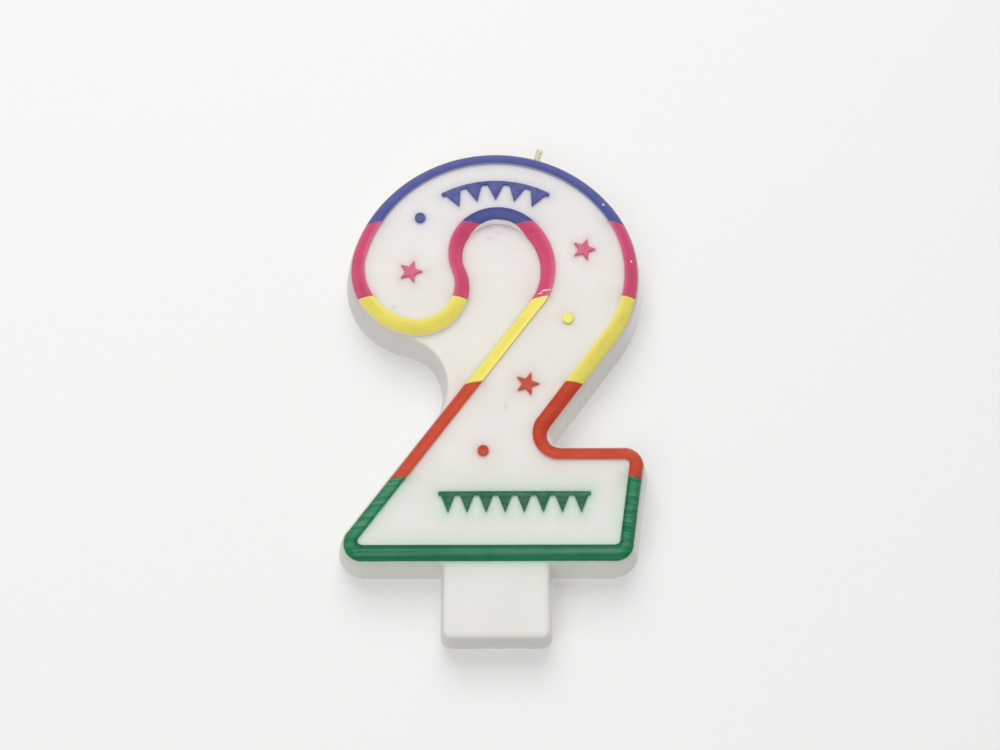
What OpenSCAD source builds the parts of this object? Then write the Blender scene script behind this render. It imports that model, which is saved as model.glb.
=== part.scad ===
/* [Numeral] */
// Radius of the bow, measured to the inner edge of its rim
bow_r = 28.6; // [27:0.1:31]
// Height of the bow's centre above the underside of the foot
bow_z = 60.9; // [58:0.1:66]
// Angle above level where the bow tightens into the right shoulder
bow_turn = 36; // [20:1:50]
// Angle at which the bow runs into the round end of the hook
hook_turn = 165; // [160:1:174]
// Radius of the outer side of the hook, inside its rim
hook_r = 12.2; // [11:0.1:13]
// Radius of the inner side of the hook, from the web up to the arch
crook_r = 8; // [7.5:0.1:8.7]
// Radius of the arch over the counter, at the inner edge of its rim
arch_r = 10.6; // [10:0.1:11.5]
// Width of the bow at its top, between the rims of bow and arch
bow_w = 10.6; // [9.5:0.1:11.5]
// Angle above level where the arch opens out towards the leg
arch_turn = 52; // [35:1:60]
// Slope of the leg
leg_angle = 53.1; // [49:0.1:57]
// Width of the leg between its two rims
leg_w = 13.9; // [12:0.1:16]
// Left tip of the foot's panel
foot_left = -28.8; // [-32:0.1:-26]
// Right end of the foot's panel, at its top
foot_right = 27.4; // [24:0.1:30]
// Height of the foot's panel between its rims
foot_h = 17.7; // [15:0.1:21]
// Inward slant of the foot's right end, towards its bottom
foot_slant = 8.5; // [0:0.5:14]
// Radius of the panel's outer corners
corner_r = 0.8; // [0.4:0.1:2]
// Radius of the panel's edge in the notch above the foot
notch_r = 5.6; // [5.2:0.1:8]
// Radius of the web that fills the counter, where it meets the hook and the leg
web_r = 11; // [8:0.5:14]

/* [Section] */
// Thickness from the flat back to the crest of the rim
thick = 12; // [10:0.5:15]
// Depth of the panel below the crest of the rim
panel_drop = 0.6; // [0.4:0.1:1]
// Radius of the rounded shoulder outside the rim
edge_r = 4.8; // [4:0.1:5]
// Slope of the shoulder at the crest
edge_start = 15; // [5:1:20]
// Draft of the side walls
draft = 9; // [3:0.5:10]
// Depth of the coloured coat's lower edge below the crest
coat_reach = 2.4; // [1.6:0.1:2.5]
// Depth of the web in the counter below the crest
web_drop = 2.8; // [2.6:0.1:3.4]
// Thickness of the coloured coat
coat_t = 0.35; // [0.2:0.05:0.5]

/* [Stem] */
// Width of the stem across its front
stem_w = 21.4; // [16:0.1:26]
// Length of the stem below the foot
stem_len = 14.4; // [10:0.1:25]
// Thickness of the stem
stem_t = 9.5; // [6:0.5:10]
// Draft of the stem's sides and end
stem_draft = 5; // [0:0.5:9]
// Radius of the stem's bottom corners on its front, inside the rounded edge
stem_corner = 0.5; // [0.2:0.1:4]
// Radius of the stem's front edges
stem_edge = 1.2; // [0.5:0.1:2]

/* [Colours] */
// Depth of the blue band below the top of the bow's panel
blue_depth = 13.9; // [12:0.1:15]
// Height where magenta ends and yellow starts
magenta_z = 58.4; // [55:0.1:62]
// Height where yellow ends and red starts
yellow_z = 39.3; // [37:0.1:42]
// Height where red ends and green starts
red_z = 18.9; // [14:0.1:20]

/* [Motifs] */
// Radius of the stars, to their tips
star_r = 2.6; // [1.5:0.1:3]
// Radius between the tips of the stars, as a share of the tip radius
star_waist = 0.42; // [0.3:0.01:0.6]
// Radius of the dots
dot_r = 1.15; // [0.8:0.05:2]
// Place of the magenta star on the hook
star_hook = [-18.2, 64]; // [-50:0.1:100]
// Place of the magenta star on the shoulder
star_shoulder = [18.9, 69.1]; // [-50:0.1:100]
// Place of the red star on the leg
star_leg = [6.5, 38.8]; // [-50:0.1:100]
// Place of the blue dot on the bow
dot_bow = [-16.3, 76.5]; // [-50:0.1:100]
// Place of the yellow dot on the shoulder
dot_shoulder = [15.2, 53.3]; // [-50:0.1:100]
// Place of the red dot on the leg
dot_leg = [-2.7, 24.4]; // [-50:0.1:100]

/* [Bunting] */
// Height of a pennant below its cord
flag_h = 4; // [2:0.1:5]
// Thickness of the bunting's cord
cord_t = 0.8; // [0.5:0.1:1.2]
// Width of a pennant, as a share of the step from one to the next
flag_fill = 0.8; // [0.5:0.05:0.95]
// Number of pennants on the bow
bow_flags = 5; // [3:1:7]
// Gap from the bow's rim down to the cord of its bunting
bow_flags_in = 4.7; // [2:0.1:5.5]
// Angle that the bow's bunting covers
bow_flags_span = 58; // [30:1:70]
// Number of pennants on the foot
foot_flags = 8; // [4:1:10]
// Left end of the foot's bunting
foot_flags_x = -11.8; // [-16:0.1:-6]
// Length of the foot's bunting
foot_flags_len = 31; // [20:0.5:34]
// Height of the foot's bunting cord
foot_flags_z = 15.4; // [13:0.1:18]

/* [Wick] */
// Diameter of the wick
wick_d = 1.6; // [1:0.1:2.5]
// Clearance around the wick in the wax
wick_gap = 0.05; // [0.02:0.01:0.2]
// Length of the wick that shows above the wax
wick_out = 4; // [2:0.5:12]
// Length of the wick inside the wax
wick_in = 12; // [6:0.5:14]
// Angle at which the wick leans to the right of upright
wick_lean = 16; // [-30:1:30]

/* [Hidden] */

// Fineness of the curves
fine = 128;
// Number of flats down the rounded rim and the stem's rounded edge
rim_steps = 6;
// Neighbouring stretches of an edge overlap by lap_len, and each rank stands lap_step proud of the last
lap_len = 0.1;
lap_step = 0.03;
// Step between the points of the hidden inner core, in degrees
core_step = 10;
// Reach of the hidden inner core under the rim
core_under = 0.3;
// How far the web's outline goes past its two ends
web_past = 2;
// A length beyond the whole candle
far = 200;

// Levels above the back
panel_h = thick - panel_drop;
coat_h = thick - coat_reach;
web_h = thick - web_drop;
// Centre of the rounded rim, in a section of distance outward and height above the back
rim_c = [-edge_r * sin(edge_start), thick - edge_r * cos(edge_start)];
shoulder_h = rim_c[1] + edge_r * sin(draft);
// Widths of the rim and of the drafted wall, outward from the panel's edge
rim_w = rim_c[0] + edge_r * cos(draft);
wall_w = rim_w + shoulder_h * tan(draft);
// Radius of the stem's bottom corners at its back
stem_back_r = stem_corner + stem_edge / cos(stem_draft) + (stem_t - stem_edge) * tan(stem_draft);

// The leg runs along "along", and "across" points out of its right side
along = [cos(leg_angle), sin(leg_angle)];
across = [sin(leg_angle), -cos(leg_angle)];
foot_z0 = wall_w;
foot_z1 = foot_z0 + foot_h;
leg_left = across * [foot_left, foot_z0];
leg_right = leg_left + leg_w;
end_out = [cos(foot_slant), -sin(foot_slant)];
foot_end = end_out * [foot_right, foot_z1];

function ray(a) = [cos(a), sin(a)];
// X of the point at height z that lies k out along the direction n
function x_on(n, k, z) = (k - n[1] * z) / n[0];
// Radius of an arc that leaves the circle (c, r) at angle a and runs into the line k across the leg
function tail_r(c, r, a, k) = (k - across * c - r * (across * ray(a))) / (1 - across * ray(a));

bow_c = [0, bow_z];
bow_flags_r = bow_r - bow_flags_in;
blue_z = bow_z + bow_r - blue_depth;
shoulder_r = tail_r(bow_c, bow_r, bow_turn, leg_right);
shoulder_c = bow_c + (bow_r - shoulder_r) * ray(bow_turn);
hook_c = bow_c + (bow_r - hook_r) * ray(hook_turn);

// The web's edge touches the hook's outer circle and the leg's left line
web_edge_r = web_r + rim_w;
web_across = leg_left - web_edge_r - across * hook_c;
web_along = sqrt(pow(hook_r + web_edge_r, 2) - web_across * web_across);
web_c = hook_c + web_across * across - web_along * along;
web_side = atan2(hook_c[1] - web_c[1], hook_c[0] - web_c[0]);
web_foot = web_c + web_edge_r * across;

// The hook tightens where the web meets it, and its inner circle touches the arch's
crook_c = hook_c + (hook_r - crook_r) * ray(180 + web_side);
arch_reach = crook_r + arch_r;
arch_z = bow_z + bow_r - bow_w - arch_r;
arch_c = [crook_c[0] + sqrt(arch_reach * arch_reach - pow(arch_z - crook_c[1], 2)), arch_z];
arch_tail_r = tail_r(arch_c, arch_r, arch_turn, leg_left);
arch_tail_c = arch_c + (arch_r - arch_tail_r) * ray(arch_turn);
arch_side = atan2(arch_c[1] - crook_c[1], arch_c[0] - crook_c[0]);
// Reach of the web's section, in under the far side of the arch
web_reach = norm(arch_c - web_c) + arch_r - web_edge_r + web_past;

// Bends of the panel's edge: centre, radius, first and last angle, and rank among the lapped stretches.
// The edge runs with the panel on its left, so angles fall round a hollow bend.
function corner_z0() = foot_z0 + corner_r;
function corner_z1() = foot_z1 - corner_r;
foot_tip = [[x_on(across, leg_left + corner_r, corner_z0()), corner_z0()], corner_r, leg_angle + 90, 270, 1];
foot_low = [[x_on(end_out, foot_end - corner_r, corner_z0()), corner_z0()],
            corner_r, 270, 360 - foot_slant, 1];
foot_high = [[x_on(end_out, foot_end - corner_r, corner_z1()), corner_z1()], corner_r, -foot_slant, 90, 1];
notch_z = foot_z1 + notch_r;
notch = [[x_on(across, leg_right + notch_r, notch_z), notch_z], notch_r, 270, leg_angle + 90, 1];
shoulder = [shoulder_c, shoulder_r, leg_angle - 90, bow_turn, 1];
bow = [bow_c, bow_r, bow_turn, hook_turn, 2];
hook_out = [hook_c, hook_r, hook_turn, 180 + web_side, 1];
hook_in = [crook_c, crook_r, 180 + web_side, 360 + arch_side, 2];
arch = [arch_c, arch_r, 180 + arch_side, arch_turn, 1];
arch_tail = [arch_tail_c, arch_tail_r, arch_turn, leg_angle - 90, 2];
web_edge = [web_c, web_edge_r, web_side, leg_angle - 90, 3];

function from(b) = b[0] + b[1] * ray(b[2]);
function to(b) = b[0] + b[1] * ray(b[3]);
function hollow(b) = b[3] < b[2];
function spot(b, a, s) = b[0] + (b[1] + (hollow(b) ? -s : s)) * ray(a);

// Straight runs between the bends
leg_left_low = [web_foot, from(foot_tip)];
foot_bottom = [to(foot_tip), from(foot_low)];
foot_side = [to(foot_low), from(foot_high)];
foot_top = [to(foot_high), from(notch)];
leg_right_run = [to(notch), from(shoulder)];
leg_left_high = [to(arch_tail), web_foot];
leg_left_run = [to(arch_tail), from(foot_tip)];

outer_bends = [foot_tip, foot_low, foot_high, notch, shoulder, bow, hook_out];
outer_runs = [leg_left_low, foot_bottom, foot_side, foot_top, leg_right_run];
inner_bends = [hook_in, arch, arch_tail];
inner_runs = [leg_left_high];

// Points along a bend, at the distance s outside the panel's edge
function bend_points(b, s) =
    let (n = ceil(abs(b[3] - b[2]) / core_step))
    [for (i = [0:n]) spot(b, b[2] + (b[3] - b[2]) * i / n, s)];
function path_points(bends, s) = [for (b = bends) each bend_points(b, s)];
function reversed(points) = [for (i = [len(points) - 1:-1:0]) points[i]];

// Turns the drawing of the front, with its height above the back, into the upright candle
module stand() {
    translate([0, thick / 2, 0]) rotate([90, 0, 0]) children();
}

// Carries a section round a bend
module bend(b) {
    lap = lap_len / (b[1] + wall_w) * 180 / PI;
    translate(b[0]) rotate(min(b[2], b[3]) - lap)
        rotate_extrude(angle = abs(b[3] - b[2]) + 2 * lap, $fn = fine)
            translate([b[1], 0]) mirror([hollow(b) ? 1 : 0, 0]) grown(lap_step * b[4]) children();
}

// Draws a section with all its sides moved out by g
module grown(g) {
    $grow = g;
    children();
}

// Carries a section along a straight run
module run(r) {
    way = r[1] - r[0];
    translate(r[0]) rotate(atan2(way[1], way[0])) rotate([90, 0, 90])
        linear_extrude(norm(way)) mirror([1, 0]) grown(0) children();
}

module swept(bends, runs) {
    for (b = bends) bend(b) children();
    for (r = runs) run(r) children();
}

// Points down the rounded rim on a circle of radius r, between two turns off upright
function rim_points(r, a0, a1) =
    [for (i = [0:rim_steps]) let (a = a0 + (a1 - a0) * i / rim_steps) rim_c + r * [sin(a), cos(a)]];
// Turn at the distance s outward, and at the height h
function turn_s(r, s) = asin((s - rim_c[0]) / r);
function turn_h(r, h) = acos((h - rim_c[1]) / r);
// Sides of a section grown by g: the coat's outside, its seat, the bare flank below h, and the wall
function coat_points(g) = rim_points(edge_r + g, turn_s(edge_r + g, -g), turn_h(edge_r + g, coat_h - g));
function seat_points(g) =
    let (r = edge_r - coat_t - g)
    rim_points(r, turn_s(r, -g), turn_h(r, coat_h - g));
function flank_points(g, h) = rim_points(edge_r + g, turn_h(edge_r + g, h), 90 - draft);
function numeral_points(g) = concat(reversed(flank_points(g, coat_h - g)), reversed(seat_points(g)));
function wall_points(g) =
    let (tip = rim_c + (edge_r + g) * ray(draft))
    [[-g, 0], [tip[0] + tip[1] * tan(draft), 0]];

// Section of the coloured coat over the rim
module coat_section() {
    polygon(concat(coat_points($grow), reversed(seat_points($grow))));
}

// Section of the wax under the coat, from the back to the crest
module wax_section() {
    polygon(concat(wall_points($grow), numeral_points($grow)));
}

// Section of the web, from its outer wall in under the arch
module web_section() {
    wall = wall_points($grow);
    polygon(concat([[-web_reach, 0], wall[1]], reversed(flank_points($grow, web_h)), [[-web_reach, web_h]]));
}

// Section of the wax from the flank up, where the web lies against it
module inner_section() {
    polygon(concat([[-$grow, shoulder_h]], numeral_points($grow)));
}

module stem_section() {
    edge_c = [-stem_edge / cos(stem_draft) - (stem_t - stem_edge) * tan(stem_draft), stem_t - stem_edge];
    edge = [for (i = [0:rim_steps]) let (a = stem_draft + (90 - stem_draft) * i / rim_steps)
            edge_c + (stem_edge + $grow) * ray(a)];
    inner = core_under / 2 - stem_back_r;
    polygon(concat([[inner, 0], [$grow / cos(stem_draft), 0]], edge, [[inner, stem_t + $grow]]));
}

module stem() {
    half = stem_w / 2 + stem_t * tan(stem_draft);
    in_x = half - stem_back_r;
    in_z = stem_back_r - stem_len;
    left = [[-in_x, in_z], stem_back_r, 180, 270, 1];
    right = [[in_x, in_z], stem_back_r, 270, 360, 1];
    up = [0, stem_len];
    sides = [[from(left) + up, from(left)], [to(right), to(right) + up]];
    swept([left, right], concat(sides, [[to(left), from(right)]])) stem_section();
    translate([-in_x - core_under, in_z - core_under])
        cube([2 * (in_x + core_under), wall_w - in_z + core_under, stem_t]);
}

// The web is turned about the centre of its edge and cut off under the rims of hook, arch and leg
module web() {
    past_leg = -web_past * along;
    past_hook = web_past * ray(web_side + 90);
    ends = [web_foot + past_leg, web_c + past_leg, web_c + past_hook, from(hook_in) + past_hook];
    intersection() {
        bend(web_edge) web_section();
        linear_extrude(far) polygon(concat(path_points(inner_bends, core_under / 2), ends));
    }
}

// The moulded wax: the numeral, the web in its counter and the stem
module wax_body() {
    color("ivory") stand() difference() {
        union() {
            swept(outer_bends, outer_runs) wax_section();
            swept(inner_bends, inner_runs) inner_section();
            web();
            linear_extrude(panel_h)
                polygon(concat(path_points(outer_bends, core_under), path_points(inner_bends, core_under)));
            stem();
        }
        wick_shape(wick_gap);
    }
}

// The wick's straight axis runs through the bow's centre, half way through the thickness
module wick_shape(gap) {
    top_r = bow_r + rim_w;
    translate([0, bow_z, thick / 2]) rotate(-wick_lean) rotate([-90, 0, 0])
        translate([0, 0, top_r - wick_in - gap])
            cylinder(r = wick_d / 2 + gap, h = wick_in + wick_out + 2 * gap, $fn = fine);
}

module wick() {
    color("wheat") stand() wick_shape(0);
}

// A stretch of coat between two heights and two sideways limits
module coat(bends, runs, z0, z1, x0 = -far, x1 = far) {
    stand() intersection() {
        swept(bends, runs) coat_section();
        translate([x0, z0, 0]) cube([x1 - x0, z1 - z0, far]);
    }
}

module blue_bow() {
    color("slateblue") coat([shoulder, bow], [], blue_z, far);
}

module blue_arch() {
    color("slateblue") coat([hook_in, arch, arch_tail], [], blue_z, far);
}

module magenta_hook() {
    color("palevioletred") coat([bow, hook_out], [], magenta_z, blue_z, x1 = hook_c[0]);
}

module magenta_arch_left() {
    color("palevioletred") coat([hook_in, arch], [], magenta_z, blue_z, x1 = arch_c[0]);
}

module magenta_arch_right() {
    color("palevioletred") coat([arch, arch_tail], [], magenta_z, blue_z, x0 = arch_c[0]);
}

module magenta_shoulder() {
    color("palevioletred") coat([shoulder, bow], [], magenta_z, blue_z, x0 = arch_c[0]);
}

module yellow_hook() {
    color("gold") coat([hook_out, hook_in], [], yellow_z, magenta_z, x1 = arch_c[0]);
}

module yellow_leg_left() {
    color("gold") coat([arch_tail], [leg_left_run], yellow_z, magenta_z);
}

module yellow_leg_right() {
    color("gold") coat([shoulder], [leg_right_run], yellow_z, magenta_z);
}

module red_leg_left() {
    color("tomato") coat([], [leg_left_run], red_z, yellow_z);
}

module red_notch() {
    color("tomato") coat([notch, foot_high], [leg_right_run, foot_top, foot_side], red_z, yellow_z);
}

module green_foot() {
    color("seagreen") coat([foot_tip, foot_low], [leg_left_run, foot_bottom, foot_side], 0, red_z);
}

// Raised motifs stand on the panel and end level with the crest
module on_panel(place) {
    stand() translate([place[0], place[1], panel_h]) children();
}

module motif(place) {
    on_panel(place) linear_extrude(panel_drop) children();
}

// A star of five points, one of them to the right
module star() {
    polygon([for (i = [0:9]) star_r * (i % 2 == 0 ? 1 : star_waist) * ray(36 * i)]);
}

module magenta_star_hook() {
    color("palevioletred") motif(star_hook) star();
}

module magenta_star_shoulder() {
    color("palevioletred") motif(star_shoulder) star();
}

module red_star_leg() {
    color("tomato") motif(star_leg) star();
}

module blue_dot_bow() {
    color("slateblue") motif(dot_bow) circle(dot_r, $fn = fine);
}

module yellow_dot_shoulder() {
    color("gold") motif(dot_shoulder) circle(dot_r, $fn = fine);
}

module red_dot_leg() {
    color("tomato") motif(dot_leg) circle(dot_r, $fn = fine);
}

// A pennant that hangs down from the middle of its cord
module flag(width) {
    linear_extrude(panel_drop) polygon([[-width / 2, 0], [width / 2, 0], [0, -flag_h]]);
}

module blue_bunting_bow() {
    step = bow_flags_span / bow_flags;
    width = flag_fill * step * PI / 180 * bow_flags_r;
    color("slateblue") on_panel(bow_c) {
        rotate(90 - bow_flags_span / 2) rotate_extrude(angle = bow_flags_span, $fn = fine)
            translate([bow_flags_r - cord_t / 2, 0]) square([cord_t, panel_drop]);
        for (i = [0:bow_flags - 1])
            rotate((i + 0.5) * step - bow_flags_span / 2) translate([0, bow_flags_r]) flag(width);
    }
}

module green_bunting_foot() {
    step = foot_flags_len / foot_flags;
    color("seagreen") on_panel([foot_flags_x, foot_flags_z]) {
        translate([0, -cord_t / 2]) cube([foot_flags_len, cord_t, panel_drop]);
        for (i = [0:foot_flags - 1]) translate([(i + 0.5) * step, 0]) flag(flag_fill * step);
    }
}

wax_body();
wick();
blue_bow();
blue_arch();
magenta_hook();
magenta_arch_left();
magenta_arch_right();
magenta_shoulder();
yellow_hook();
yellow_leg_left();
yellow_leg_right();
red_leg_left();
red_notch();
green_foot();
magenta_star_hook();
magenta_star_shoulder();
red_star_leg();
blue_dot_bow();
yellow_dot_shoulder();
red_dot_leg();
blue_bunting_bow();
green_bunting_foot();
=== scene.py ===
import math

import bmesh
import bpy
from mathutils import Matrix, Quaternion, Vector, noise
from mathutils.bvhtree import BVHTree


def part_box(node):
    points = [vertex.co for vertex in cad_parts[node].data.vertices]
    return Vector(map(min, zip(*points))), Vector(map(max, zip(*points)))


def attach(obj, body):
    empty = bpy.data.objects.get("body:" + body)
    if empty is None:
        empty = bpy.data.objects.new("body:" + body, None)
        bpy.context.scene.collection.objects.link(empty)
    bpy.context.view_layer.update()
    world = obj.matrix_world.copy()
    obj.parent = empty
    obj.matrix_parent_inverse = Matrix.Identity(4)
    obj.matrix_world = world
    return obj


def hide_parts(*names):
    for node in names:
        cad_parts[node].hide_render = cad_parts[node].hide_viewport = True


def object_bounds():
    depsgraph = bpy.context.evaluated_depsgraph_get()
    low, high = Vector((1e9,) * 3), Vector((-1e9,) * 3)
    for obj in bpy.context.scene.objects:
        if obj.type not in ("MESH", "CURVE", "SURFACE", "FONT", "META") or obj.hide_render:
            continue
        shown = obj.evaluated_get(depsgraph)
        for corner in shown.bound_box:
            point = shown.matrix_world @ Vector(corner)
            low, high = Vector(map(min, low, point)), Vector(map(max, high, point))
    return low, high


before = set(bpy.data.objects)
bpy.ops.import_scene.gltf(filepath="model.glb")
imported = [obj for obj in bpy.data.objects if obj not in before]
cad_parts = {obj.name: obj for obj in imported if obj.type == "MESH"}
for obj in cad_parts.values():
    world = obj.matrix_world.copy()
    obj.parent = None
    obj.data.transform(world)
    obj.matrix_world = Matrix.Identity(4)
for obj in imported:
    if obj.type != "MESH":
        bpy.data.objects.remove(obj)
cad_box = [list(corner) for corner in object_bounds()]

# Wax body: the numeral with its sunk panel, the web in its counter and the stem, poured in one mould.
# White paraffin: every edge is soft, the surface is satin and a little uneven, and the dye of the
# coats bonded to it has bled into the white beside them.
body_skin, body_rounds = 0.0004, 3
weld = 0.000002


def finish_wax(obj, skin, rounds, node, material):
    """Gives a wax piece an even skin and soft edges as plain mesh, and puts it in its node's place."""
    remesh = obj.modifiers.new("skin", "REMESH")
    remesh.mode = "VOXEL"
    remesh.voxel_size = skin
    soften = obj.modifiers.new("soften", "SMOOTH")
    soften.factor = 0.5
    soften.iterations = rounds
    deps = bpy.context.evaluated_depsgraph_get()
    mesh = bpy.data.meshes.new_from_object(obj.evaluated_get(deps))
    obj.modifiers.clear()
    obj.data = mesh
    for vertex in mesh.vertices:
        vertex.co.y = min(vertex.co.y, cad_box[1][1])
    mesh.materials.clear()
    mesh.materials.append(material)
    mesh.shade_smooth()
    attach(obj, "root")
    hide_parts(node)


def wax_piece(name, node, skin, rounds, material):
    """A wax piece with the shape of one CAD node, made from its triangles, merged."""
    shape = bmesh.new()
    shape.from_mesh(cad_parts[node].data)
    bmesh.ops.remove_doubles(shape, verts=shape.verts, dist=weld)
    mesh = bpy.data.meshes.new(name)
    shape.to_mesh(mesh)
    shape.free()
    obj = bpy.data.objects.new(name, mesh)
    bpy.context.scene.collection.objects.link(obj)
    finish_wax(obj, skin, rounds, node, material)
    return obj


def linear(code):
    """An sRGB hex colour as linear RGBA."""
    parts = [int(code[i:i + 2], 16) / 255 for i in (1, 3, 5)]
    return [c / 12.92 if c <= 0.04045 else ((c + 0.055) / 1.055) ** 2.4 for c in parts] + [1.0]


def put(tree, kind, inputs=None, **settings):
    """Adds one node with its settings; an input takes a value, or a socket to link from."""
    node = tree.nodes.new(kind)
    for key, value in settings.items():
        setattr(node, key, value)
    for key, value in (inputs or {}).items():
        if isinstance(value, bpy.types.NodeSocket):
            tree.links.new(value, node.inputs[key])
        else:
            node.inputs[key].default_value = value
    return node


# A colour Mix node's sockets, which share their names with its other kinds: share, two colours, result.
share, first, second, result = 0, 6, 7, 2

# Moulded paraffin: milky and satin, light goes about a millimetre into it before it comes back.
# Its tone and gloss drift in patches of 12 and 5 mm, over a grain of 1.1 mm, drawn coarse to show.
wax_ior = 1.44
wax_scatter = (1.0, 0.85, 0.7)
patch, gloss_patch, wax_grain = 0.012, 0.005, 0.0011
paraffin = bpy.data.materials.new("paraffin_wax_moulded")
paraffin.use_nodes = True
wax_tree = paraffin.node_tree
wax_shader = wax_tree.nodes["Principled BSDF"]
wax_spot = put(wax_tree, "ShaderNodeTexCoord").outputs["Object"]
patches = put(wax_tree, "ShaderNodeTexNoise", {"Vector": wax_spot, "Scale": 1 / patch, "Detail": 3.0})
wax_tone = put(wax_tree, "ShaderNodeMix", {share: patches.outputs[0], first: linear("#E2DFD9"),
                                           second: linear("#EFEDE9")}, data_type="RGBA")
bleed = put(wax_tree, "ShaderNodeVertexColor", layer_name="dye_bleed")
stained = put(wax_tree, "ShaderNodeMix", {share: bleed.outputs["Alpha"], first: wax_tone.outputs[result],
                                          second: bleed.outputs["Color"]}, data_type="RGBA")
wax_tree.links.new(stained.outputs[result], wax_shader.inputs["Base Color"])
wax_shader.inputs["Subsurface Weight"].default_value = 0.3
wax_shader.inputs["Subsurface Radius"].default_value = wax_scatter
wax_shader.inputs["Subsurface Scale"].default_value = 0.001
wax_shader.inputs["IOR"].default_value = wax_ior
satin = put(wax_tree, "ShaderNodeTexNoise", {"Vector": wax_spot, "Scale": 1 / gloss_patch, "Detail": 2.0})
rough = put(wax_tree, "ShaderNodeMapRange", {"Value": satin.outputs[0], "To Min": 0.36, "To Max": 0.54})
wax_tree.links.new(rough.outputs[0], wax_shader.inputs["Roughness"])
grain = put(wax_tree, "ShaderNodeTexNoise", {"Vector": wax_spot, "Scale": 1 / wax_grain, "Detail": 4.0})
fine_bump = put(wax_tree, "ShaderNodeBump", {"Height": grain.outputs[0], "Strength": 0.15,
                                             "Distance": 0.0002})
wave_bump = put(wax_tree, "ShaderNodeBump", {"Height": patches.outputs[0], "Strength": 0.35,
                                             "Distance": 0.0008, "Normal": fine_bump.outputs[0]})
wax_tree.links.new(wave_bump.outputs[0], wax_shader.inputs["Normal"])

wax = wax_piece("wax_candle", "wax_body", body_skin, body_rounds, paraffin)

# Dyed coats: thin skins of coloured wax printed onto the raised rim, in level bands of one colour each.
# Each stretch is thin at its lower edge, worn or chipped in places, and finely streaked sideways.
coat_skin, coat_rounds = 0.00012, 6
dyes = {"blue": "#4C5397", "magenta": "#D64F77", "yellow": "#F7E96F", "red": "#CB4427", "green": "#157C51"}
wax_white = "#E9E7E2"
# How far each dye's tone goes up and down along the streaks, and how strong the painted shade and highlight
# is from the rim's crest down its slope.
streaks = {"blue": 0.06, "magenta": 0.04, "yellow": 0.01, "red": 0.05, "green": 0.3}
# Painted shade and highlight across the rim: a dye with more than 0 is darker at the crest, one with less is
# paler there.
rim_painted_shading = {"blue": 0.1, "magenta": -0.16, "yellow": -0.1, "red": 0.12, "green": 0.36}
# Steps per metre in x, y and z: the streaks are 0.5 mm apart and about 80 mm long.
streak_scale = (12.0, 300.0, 2000.0)
dye_patch = 0.005
crest_y, slope_y = -0.00608, -0.0036
# Painted shade and highlight down the rim's slope: place from the crest, and level.
rim_shading_steps = ((0.06, 0.0), (0.16, 0.7), (0.35, 0.7), (0.6, 0.35))
rim_shading_end = 0.2


def dyed_wax(colour):
    """Dyed wax: satin, with level streaks about 0.5 mm apart and painted shade and highlight across the rim;
    the white wax shows where the coat is bare.
    """
    material = bpy.data.materials.new(colour + "_dyed_wax")
    material.use_nodes = True
    tree = material.node_tree
    shader = tree.nodes["Principled BSDF"]
    spot = put(tree, "ShaderNodeTexCoord").outputs["Object"]
    base = linear(dyes[colour])
    deep = [c * 0.42 for c in base[:3]] + [1.0]
    pale = [c + (0.85 - c) * 0.15 for c in base[:3]] + [1.0]
    streak, rim_shading = streaks[colour], rim_painted_shading[colour]
    drawn = put(tree, "ShaderNodeMapping", {"Vector": spot, "Scale": streak_scale})
    lines = put(tree, "ShaderNodeTexNoise", {"Vector": drawn.outputs[0], "Scale": 1.0, "Detail": 4.0})
    line_tone = put(tree, "ShaderNodeMapRange", {"Value": lines.outputs[0], "From Min": 0.3, "From Max": 0.7,
                                                 "To Min": 0.5 - streak, "To Max": 0.5 + streak})
    cloud = put(tree, "ShaderNodeTexNoise", {"Vector": spot, "Scale": 1 / dye_patch, "Detail": 3.0})
    cloud_tone = put(tree, "ShaderNodeMapRange", {"Value": cloud.outputs[0], "From Min": 0.3,
                                                  "From Max": 0.7, "To Min": -0.07, "To Max": 0.07})
    # Painted shade and highlight: the dye's tone is set by the depth below the rim's crest.
    depth = put(tree, "ShaderNodeSeparateXYZ", {0: spot})
    across = put(tree, "ShaderNodeMapRange", {"Value": depth.outputs["Y"], "From Min": crest_y,
                                              "From Max": slope_y})
    level = put(tree, "ShaderNodeValToRGB", {"Fac": across.outputs[0]})
    level.color_ramp.elements[1].color = [rim_shading_end] * 3 + [1.0]
    for place, grey in rim_shading_steps:
        level.color_ramp.elements.new(place).color = [grey] * 3 + [1.0]
    rim_shading_tone = put(tree, "ShaderNodeMapRange", {"Value": level.outputs[0], "To Min": -rim_shading,
                                                  "To Max": rim_shading})
    tone = put(tree, "ShaderNodeMath", {0: line_tone.outputs[0], 1: cloud_tone.outputs[0]}, operation="ADD")
    tone = put(tree, "ShaderNodeMath", {0: tone.outputs[0], 1: rim_shading_tone.outputs[0]}, operation="ADD")
    mixed = put(tree, "ShaderNodeValToRGB", {"Fac": tone.outputs[0]})
    stops = mixed.color_ramp.elements
    stops[0].color = deep
    stops[1].color = pale
    stops.new(0.5).color = base
    bare = put(tree, "ShaderNodeAttribute", attribute_name="bare")
    coated = put(tree, "ShaderNodeMix", {share: bare.outputs["Fac"], first: mixed.outputs[0],
                                         second: linear(wax_white)}, data_type="RGBA")
    tree.links.new(coated.outputs[result], shader.inputs["Base Color"])
    shader.inputs["Subsurface Weight"].default_value = 0.1
    shader.inputs["Subsurface Radius"].default_value = wax_scatter
    shader.inputs["Subsurface Scale"].default_value = 0.0005
    shader.inputs["IOR"].default_value = wax_ior
    shader.inputs["Specular IOR Level"].default_value = 0.3
    shader.inputs["Roughness"].default_value = 0.46
    bump = put(tree, "ShaderNodeBump", {"Height": lines.outputs[0], "Strength": 0.15 + streak,
                                        "Distance": 0.00015})
    tree.links.new(bump.outputs[0], shader.inputs["Normal"])
    return material


dyed = {colour: dyed_wax(colour) for colour in dyes}

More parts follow.
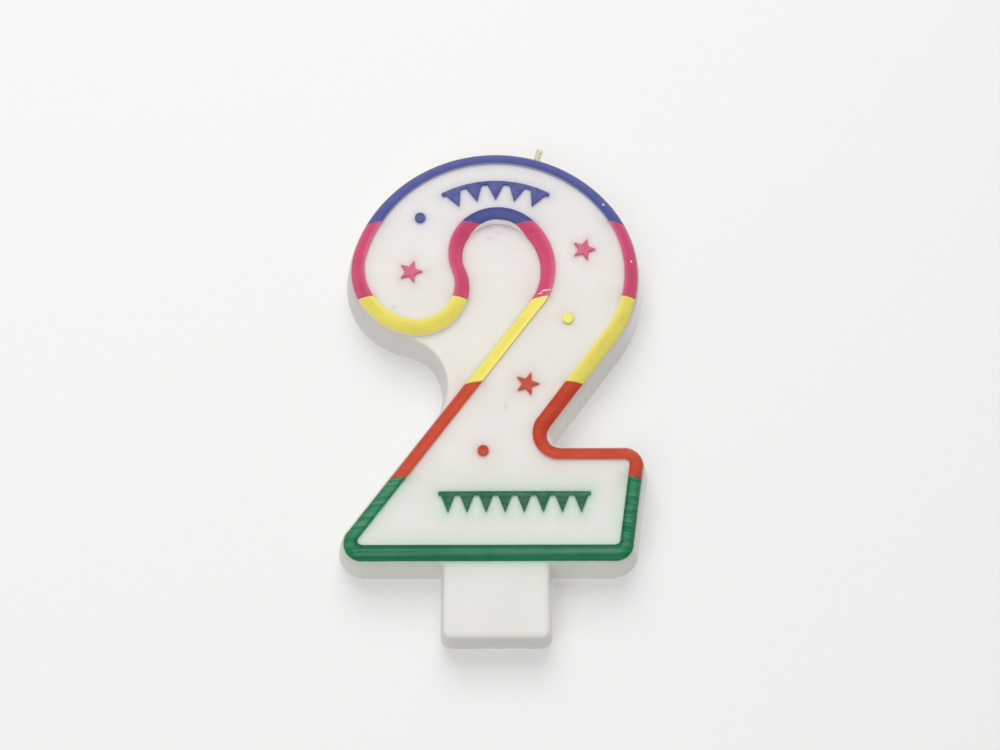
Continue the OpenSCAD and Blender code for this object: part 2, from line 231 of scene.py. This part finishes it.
# The dye ends a little way down the rim's outer slope, higher round the end of the hook and higher
# still towards the top of the arch, on a line that wavers.
rim_crest = 0.006
dye_reach, hook_reach = 0.00228, 0.0019
edge_waver, edge_fade = 0.0001, 0.00016
arch_place = Vector((0.00043, 0.0683))
arch_radius, arch_rise_from, arch_rise = 0.0112, 0.0724, 0.24
# The coat's steep inner edge, down to the panel, took little dye.
panel_step, inner_bare, inner_steep = 0.0007, 0.75, 0.8
# Marks where the coat has come off: place in x and z, half its length and half its height.
marks = [(0.0107, 0.0597, 0.0013, 0.00022), (0.0094, 0.0592, 0.0006, 0.00016),
         (0.0290, 0.0664, 0.0003, 0.0003), (0.0234, 0.0797, 0.0004, 0.0003)]


def bareness(place, normal, reach):
    """How far the white wax shows at a place on a coat whose dye reaches so far down, from 0 to 1."""
    drop = rim_crest + place.y
    reach += edge_waver * noise.noise(place * 500)
    if (Vector((place.x, place.z)) - arch_place).length < arch_radius:
        reach -= arch_rise * max(0.0, place.z - arch_rise_from)
    bare = min(1.0, max(0.0, (drop - reach) / edge_fade))
    if drop < panel_step:
        bare = max(bare, inner_bare * (1.0 - min(1.0, abs(normal.y) / inner_steep)))
    for x, z, long, high in marks:
        away = math.hypot((place.x - x) / long, (place.z - z) / high) + 0.5 * noise.noise(place * 2500)
        bare = max(bare, min(1.0, max(0.0, (1.0 - away) * 2)))
    return bare


coats = ["blue_bow", "blue_arch", "magenta_hook", "magenta_arch_left", "magenta_arch_right",
         "magenta_shoulder", "yellow_hook", "yellow_leg_left", "yellow_leg_right", "red_leg_left",
         "red_notch", "green_foot"]
for node in coats:
    colour = node.split("_")[0]
    coat = wax_piece(node + "_coat", node, coat_skin, coat_rounds, dyed[colour])
    reach = hook_reach if node == "yellow_hook" else dye_reach
    values = coat.data.attributes.new("bare", "FLOAT", "POINT").data
    for vertex, value in zip(coat.data.vertices, values):
        value.value = bareness(vertex.co, vertex.normal, reach)

# Stars and dots: raised motifs of dyed wax, moulded on the panel and rounded over.
# Their dye is thin, so a little of the white wax shows in it.
motif_skin, motif_rounds = 0.00009, 8


def thin_dye(obj):
    """Lets the white wax show a little through a motif, in spots of about 1.4 mm."""
    values = obj.data.attributes.new("bare", "FLOAT", "POINT").data
    for vertex, value in zip(obj.data.vertices, values):
        value.value = 0.02 + 0.05 * noise.noise(vertex.co * 700)


motifs = ["magenta_star_hook", "magenta_star_shoulder", "red_star_leg", "blue_dot_bow",
          "yellow_dot_shoulder", "red_dot_leg"]
for node in motifs:
    colour = node.split("_")[0]
    thin_dye(wax_piece(node + "_wax", node, motif_skin, motif_rounds, dyed[colour]))

# Pennants: two rows of raised flags on a cord, of dyed wax, moulded on the panel of the bow and of the foot.
# The cord follows an arc, and the flags hang from it at equal steps and point to the arc's centre.
pennants = bpy.data.node_groups.new("pennant_row", "GeometryNodeTree")
row_sockets = {"Flags": "NodeSocketInt", "Arc radius": "NodeSocketFloat", "Span": "NodeSocketFloat",
               "Flag height": "NodeSocketFloat", "Flag fill": "NodeSocketFloat", "Cord": "NodeSocketFloat",
               "Rise": "NodeSocketFloat", "Arc centre": "NodeSocketVector", "Dye": "NodeSocketMaterial"}
row_keys = {label: pennants.interface.new_socket(label, in_out="INPUT", socket_type=kind).identifier
            for label, kind in row_sockets.items()}
pennants.interface.new_socket("Geometry", in_out="OUTPUT", socket_type="NodeSocketGeometry")
row_in = put(pennants, "NodeGroupInput").outputs


def work_out(operation, *values):
    """One sum in the pennants' tree."""
    return put(pennants, "ShaderNodeMath", dict(enumerate(values)), operation=operation).outputs[0]


step = work_out("DIVIDE", row_in["Span"], row_in["Flags"])
half_span = work_out("MULTIPLY", row_in["Span"], 0.5)
right_end = work_out("SUBTRACT", math.pi / 2, half_span)
cord_line = put(pennants, "GeometryNodeCurveArc",
                {"Resolution": 48, "Radius": row_in["Arc radius"],
                 "Start Angle": right_end, "Sweep Angle": row_in["Span"]})
cord_section = put(pennants, "GeometryNodeCurvePrimitiveQuadrilateral",
                   {"Width": row_in["Cord"], "Height": row_in["Rise"]})
cord = put(pennants, "GeometryNodeCurveToMesh",
           {"Curve": cord_line.outputs[0], "Profile Curve": cord_section.outputs[0], "Fill Caps": True})
hang_line = put(pennants, "GeometryNodeCurveArc",
                {"Resolution": row_in["Flags"], "Radius": row_in["Arc radius"],
                 "Start Angle": work_out("MULTIPLY_ADD", step, 0.5, right_end),
                 "Sweep Angle": work_out("SUBTRACT", row_in["Span"], step)})
# A flag is a three-sided prism of radius 1: 1.5 tall and the root of 3 wide before it is scaled.
prism = put(pennants, "GeometryNodeMeshCylinder", {"Vertices": 3, "Radius": 1.0, "Depth": row_in["Rise"]})
flag_width = work_out("MULTIPLY", work_out("MULTIPLY", step, row_in["Arc radius"]), row_in["Flag fill"])
flag_size = put(pennants, "ShaderNodeCombineXYZ",
                {"X": work_out("DIVIDE", row_in["Flag height"], 1.5),
                 "Y": work_out("DIVIDE", flag_width, math.sqrt(3)), "Z": 1.0})
flag_drop = put(pennants, "ShaderNodeCombineXYZ", {"Y": work_out("DIVIDE", row_in["Flag height"], -3.0)})
flag = put(pennants, "GeometryNodeTransform",
           {"Geometry": prism.outputs[0], "Translation": flag_drop.outputs[0],
            "Rotation": (0.0, 0.0, -math.pi / 2), "Scale": flag_size.outputs[0]})
number = put(pennants, "GeometryNodeInputIndex").outputs[0]
flag_lean = work_out("MULTIPLY_ADD", work_out("ADD", number, 0.5), step,
                     work_out("MULTIPLY", half_span, -1.0))
flag_turn = put(pennants, "ShaderNodeCombineXYZ", {"Z": flag_lean})
hung = put(pennants, "GeometryNodeInstanceOnPoints",
           {"Points": hang_line.outputs[0], "Instance": flag.outputs[0], "Rotation": flag_turn.outputs[0]})
row = put(pennants, "GeometryNodeJoinGeometry", {0: cord.outputs[0]})
pennants.links.new(hung.outputs[0], row.inputs[0])
upright = put(pennants, "GeometryNodeTransform",
              {"Geometry": row.outputs[0], "Translation": row_in["Arc centre"],
               "Rotation": (math.pi / 2, 0.0, 0.0)})
whole_row = put(pennants, "GeometryNodeRealizeInstances", {0: upright.outputs[0]})
dyed_row = put(pennants, "GeometryNodeSetMaterial",
               {"Geometry": whole_row.outputs[0], "Material": row_in["Dye"]})
put(pennants, "NodeGroupOutput", {0: dyed_row.outputs[0]})

flag_height, flag_fill, cord_width = 0.004, 0.8, 0.0008
bow_centre = 0.0609
# The foot's row is straight: an arc this flat sags by less than 0.1 mm.
flat_radius = 2.0
foot_low, foot_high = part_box("green_bunting_foot")
foot_row = foot_high[0] - foot_low[0]
rows = {"blue_bunting_bow": (5, 0.0239, math.radians(58), 0.0, bow_centre),
        "green_bunting_foot": (8, flat_radius, foot_row / flat_radius, foot_low[0] + foot_row / 2,
                               foot_high[2] - cord_width / 2 - flat_radius)}
for node, (flags, radius, span, centre_x, centre_z) in rows.items():
    colour = node.split("_")[0]
    row_low, row_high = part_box(node)
    flag_row = bpy.data.objects.new(node + "_wax", bpy.data.meshes.new(node + "_wax"))
    bpy.context.scene.collection.objects.link(flag_row)
    row_maker = flag_row.modifiers.new("pennants", "NODES")
    row_maker.node_group = pennants
    row_sizes = {"Flags": flags, "Arc radius": radius, "Span": span, "Flag height": flag_height,
                 "Flag fill": flag_fill, "Cord": cord_width, "Rise": row_high[1] - row_low[1],
                 "Arc centre": (centre_x, (row_low[1] + row_high[1]) / 2, centre_z), "Dye": dyed[colour]}
    for label, value in row_sizes.items():
        row_maker[row_keys[label]] = value
    finish_wax(flag_row, motif_skin, motif_rounds, node, dyed[colour])
    thin_dye(flag_row)

# Stains on the white wax, kept as a colour on the wax body: dye that has bled in beside the coats and
# motifs, strongest in the first half millimetre, and a few grey scuffs on its front.
bleed_range = 0.008
edge_stain, edge_length, haze_length = 0.2, 0.0006, 0.0026
most_stain = 0.45
# Thin dye keeps its hue, but is lighter than the coat: its strongest part comes up to this.
thin_dye_light = 0.5
sources = []
for colour in dyes:
    shape = bmesh.new()
    for node in coats + motifs + list(rows):
        if node.startswith(colour):
            shape.from_mesh(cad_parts[node].data)
    haze = 0.2 if colour == "green" else 0.1
    tint = Vector(linear(dyes[colour])[:3])
    sources.append((tint * (thin_dye_light / max(tint)), haze, BVHTree.FromBMesh(shape)))
    shape.free()
# Scuffs: place in x and z, half length and half height.
scuffs = [(-0.0011, 0.0728, 0.0012, 0.0003), (0.0006, 0.0741, 0.0009, 0.0003),
          (0.0020, 0.0338, 0.0004, 0.0008), (-0.0216, 0.0559, 0.0006, 0.0003),
          (-0.0134, 0.0434, 0.0003, 0.0003)]
scuff_grey = Vector(linear("#6F6B66")[:3])
scuff_depth = 0.2
stains = wax.data.color_attributes.new("dye_bleed", "FLOAT_COLOR", "POINT")
for vertex, stain in zip(wax.data.vertices, stains.data):
    total, mix = 0.0, Vector()
    for tint, haze, near in sources:
        away = near.find_nearest(vertex.co, bleed_range)[3]
        if away is not None:
            weight = edge_stain * math.exp(-away / edge_length) + haze * math.exp(-away / haze_length)
            total += weight
            mix += weight * tint
    for x, z, long, high in scuffs:
        away = math.hypot((vertex.co.x - x) / long, (vertex.co.z - z) / high)
        if vertex.co.y < 0 and away < 1.5:
            weight = scuff_depth * math.exp(-away * away) * (1 + noise.noise(vertex.co * 2000))
            total += weight
            mix += weight * scuff_grey
    if total > 0:
        mix /= total
    stain.color = (*mix, min(most_stain, total))

# Wick: braided cotton, stiff with wax, cast into the top of the bow and leaning to the right.
# Right-hand and left-hand strands cross each other along its axis.
# Waxed cotton: dull and creamy, with fibres 0.4 mm wide, drawn coarse to show, that vary in tone.
fibre_width = 0.0004
cotton = bpy.data.materials.new("waxed_cotton_braid")
cotton.use_nodes = True
cotton_tree = cotton.node_tree
cotton_shader = cotton_tree.nodes["Principled BSDF"]
cotton_spot = put(cotton_tree, "ShaderNodeTexCoord").outputs["Object"]
fibre = put(cotton_tree, "ShaderNodeTexNoise", {"Vector": cotton_spot, "Scale": 1 / fibre_width,
                                                "Detail": 4.0})
thread = put(cotton_tree, "ShaderNodeMix", {share: fibre.outputs[0], first: linear("#CFC5AC"),
                                            second: linear("#F1EBDC")}, data_type="RGBA")
cotton_tree.links.new(thread.outputs[result], cotton_shader.inputs["Base Color"])
cotton_shader.inputs["Roughness"].default_value = 0.7
cotton_shader.inputs["Sheen Weight"].default_value = 0.3

# It starts inside the bow, this far from the bow's centre.
wick_start = 0.0202
wick_lean = math.radians(16)
wick_foot = Vector((wick_start * math.sin(wick_lean), 0.0, bow_centre + wick_start * math.cos(wick_lean)))
braid_sizes = {"Strands": ("NodeSocketInt", 3), "Turns": ("NodeSocketFloat", 5.0),
               "Length": ("NodeSocketFloat", 0.0156), "Lay radius": ("NodeSocketFloat", 0.00048),
               "Strand radius": ("NodeSocketFloat", 0.00029), "Foot": ("NodeSocketVector", wick_foot),
               "Lean": ("NodeSocketVector", (0.0, wick_lean, 0.0))}
braid = bpy.data.node_groups.new("braid", "GeometryNodeTree")
braid_keys = {label: braid.interface.new_socket(label, in_out="INPUT", socket_type=kind).identifier
              for label, (kind, value) in braid_sizes.items()}
braid.interface.new_socket("Geometry", in_out="OUTPUT", socket_type="NodeSocketGeometry")
braid_in = put(braid, "NodeGroupInput").outputs
strands = put(braid, "GeometryNodeJoinGeometry")
for left_hand in (False, True):
    coil = put(braid, "GeometryNodeCurveSpiral",
               {"Resolution": 16, "Rotations": braid_in["Turns"], "Start Radius": braid_in["Lay radius"],
                "End Radius": braid_in["Lay radius"], "Height": braid_in["Length"], "Reverse": left_hand})
    starts = put(braid, "GeometryNodePoints", {"Count": braid_in["Strands"]})
    index = put(braid, "GeometryNodeInputIndex")
    part = put(braid, "ShaderNodeMath", {0: index.outputs[0], 1: braid_in["Strands"]}, operation="DIVIDE")
    angle = put(braid, "ShaderNodeMath", {0: part.outputs[0], 1: math.tau}, operation="MULTIPLY")
    strand_turn = put(braid, "ShaderNodeCombineXYZ", {"Z": angle.outputs[0]})
    spread = put(braid, "GeometryNodeInstanceOnPoints",
                 {"Points": starts.outputs[0], "Instance": coil.outputs[0],
                  "Rotation": strand_turn.outputs[0]})
    braid.links.new(spread.outputs[0], strands.inputs[0])
ring = put(braid, "GeometryNodeCurvePrimitiveCircle", {"Resolution": 8, "Radius": braid_in["Strand radius"]})
tubes = put(braid, "GeometryNodeCurveToMesh",
            {"Curve": strands.outputs[0], "Profile Curve": ring.outputs[0], "Fill Caps": True})
placed = put(braid, "GeometryNodeTransform",
             {"Geometry": tubes.outputs[0], "Translation": braid_in["Foot"], "Rotation": braid_in["Lean"]})
whole_braid = put(braid, "GeometryNodeRealizeInstances", {0: placed.outputs[0]})
cotton_braid = put(braid, "GeometryNodeSetMaterial", {"Geometry": whole_braid.outputs[0], "Material": cotton})
put(braid, "NodeGroupOutput", {0: cotton_braid.outputs[0]})
wick = bpy.data.objects.new("wick_braid", bpy.data.meshes.new("wick_braid"))
bpy.context.scene.collection.objects.link(wick)
braid_maker = wick.modifiers.new("braid", "NODES")
braid_maker.node_group = braid
for label, (kind, value) in braid_sizes.items():
    braid_maker[braid_keys[label]] = value
wick.data = bpy.data.meshes.new_from_object(wick.evaluated_get(bpy.context.evaluated_depsgraph_get()))
wick.modifiers.clear()
wick.data.shade_smooth()
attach(wick, "root")
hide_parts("wick")

# Stage: the candle stands against a sheet of pale card, on a pale floor.
# Both show their front side only and hold no light off, so that the candle is lit and seen all round.
# Uncoated card: matt and nearly white.
card = bpy.data.materials.new("pale_card")
card.use_nodes = True
card_tree = card.node_tree
card_shader = card_tree.nodes["Principled BSDF"]
card_shader.inputs["Base Color"].default_value = linear("#F7F6F4")
card_shader.inputs["Roughness"].default_value = 0.9
side = put(card_tree, "ShaderNodeNewGeometry")
clear = put(card_tree, "ShaderNodeBsdfTransparent")
one_sided = put(card_tree, "ShaderNodeMixShader", {0: side.outputs["Backfacing"], 1: card_shader.outputs[0],
                                                   2: clear.outputs[0]})
card_tree.links.new(one_sided.outputs[0], card_tree.nodes["Material Output"].inputs["Surface"])
floor_z = cad_box[0][2] - 0.0002
wall_y = cad_box[1][1] + 0.0003
half = 2
square = [(-half, -half), (half, -half), (half, half), (-half, half)]
for name, corners in (("floor", [(x, y, floor_z) for x, y in square]),
                      ("wall", [(x, wall_y, z) for x, z in square])):
    mesh = bpy.data.meshes.new(name)
    mesh.from_pydata(corners, [], [(0, 1, 2, 3)])
    mesh.materials.append(card)
    sheet = bpy.data.objects.new(name, mesh)
    bpy.context.scene.collection.objects.link(sheet)
    sheet.visible_diffuse = False
    sheet.visible_shadow = False

# Light: three wide soft lamps turned to the candle's middle, one above and one below the camera, one behind.
# A white sky fills the shade; the camera and reflections see it at full white.
lamp_width = 0.5
candle_middle = Vector((0, 0, 0.045))
for name, place, power in (("key_lamp", (-0.05, -0.6, 0.45), 2.2), ("fill_lamp", (-0.2, -0.6, -0.25), 1.0),
                           ("back_lamp", (0.2, 0.6, 0.4), 1.8)):
    lamp = bpy.data.lights.new(name, "AREA")
    lamp.size = lamp_width
    lamp.energy = power
    holder = bpy.data.objects.new(name, lamp)
    holder.location = place
    holder.rotation_euler = (candle_middle - Vector(place)).to_track_quat("-Z", "Y").to_euler()
    bpy.context.scene.collection.objects.link(holder)

sky_fill, sky_seen = 0.52, 1.0
world = bpy.data.worlds.new("sky")
world.use_nodes = True
sky_tree = world.node_tree
rays = put(sky_tree, "ShaderNodeLightPath").outputs
seen = put(sky_tree, "ShaderNodeMath", {0: rays["Is Camera Ray"], 1: rays["Is Glossy Ray"]},
           operation="MAXIMUM")
seen = put(sky_tree, "ShaderNodeMath", {0: seen.outputs[0], 1: rays["Is Transmission Ray"]},
           operation="MAXIMUM")
strength = put(sky_tree, "ShaderNodeMapRange", {"Value": seen.outputs[0], "To Min": sky_fill,
                                                "To Max": sky_seen})
sky = sky_tree.nodes["Background"]
sky.inputs["Color"].default_value = linear("#FFFFFF")
sky_tree.links.new(strength.outputs[0], sky.inputs["Strength"])
bpy.context.scene.world = world

# Camera: in front of the candle and below it, looking up at its middle, as it was photographed.
# Its place, aim and slight roll were worked out from the edges in the photograph.
eye = (-0.0011558, -0.3025328, -0.0578355)
target = Vector((0.000902, 0.006, 0.044581))
roll = math.radians(-0.21)
lens = bpy.data.cameras.new("camera")
lens.lens = 54.0
lens.sensor_width = 36.0
lens.clip_start = 0.01
camera = bpy.data.objects.new("camera", lens)
camera.location = eye
aim = (target - camera.location).to_track_quat("-Z", "Y")
camera.rotation_euler = (aim @ Quaternion((0, 0, 1), roll)).to_euler()
bpy.context.scene.collection.objects.link(camera)
bpy.context.scene.camera = camera
bpy.context.scene.view_settings.view_transform = "Standard"
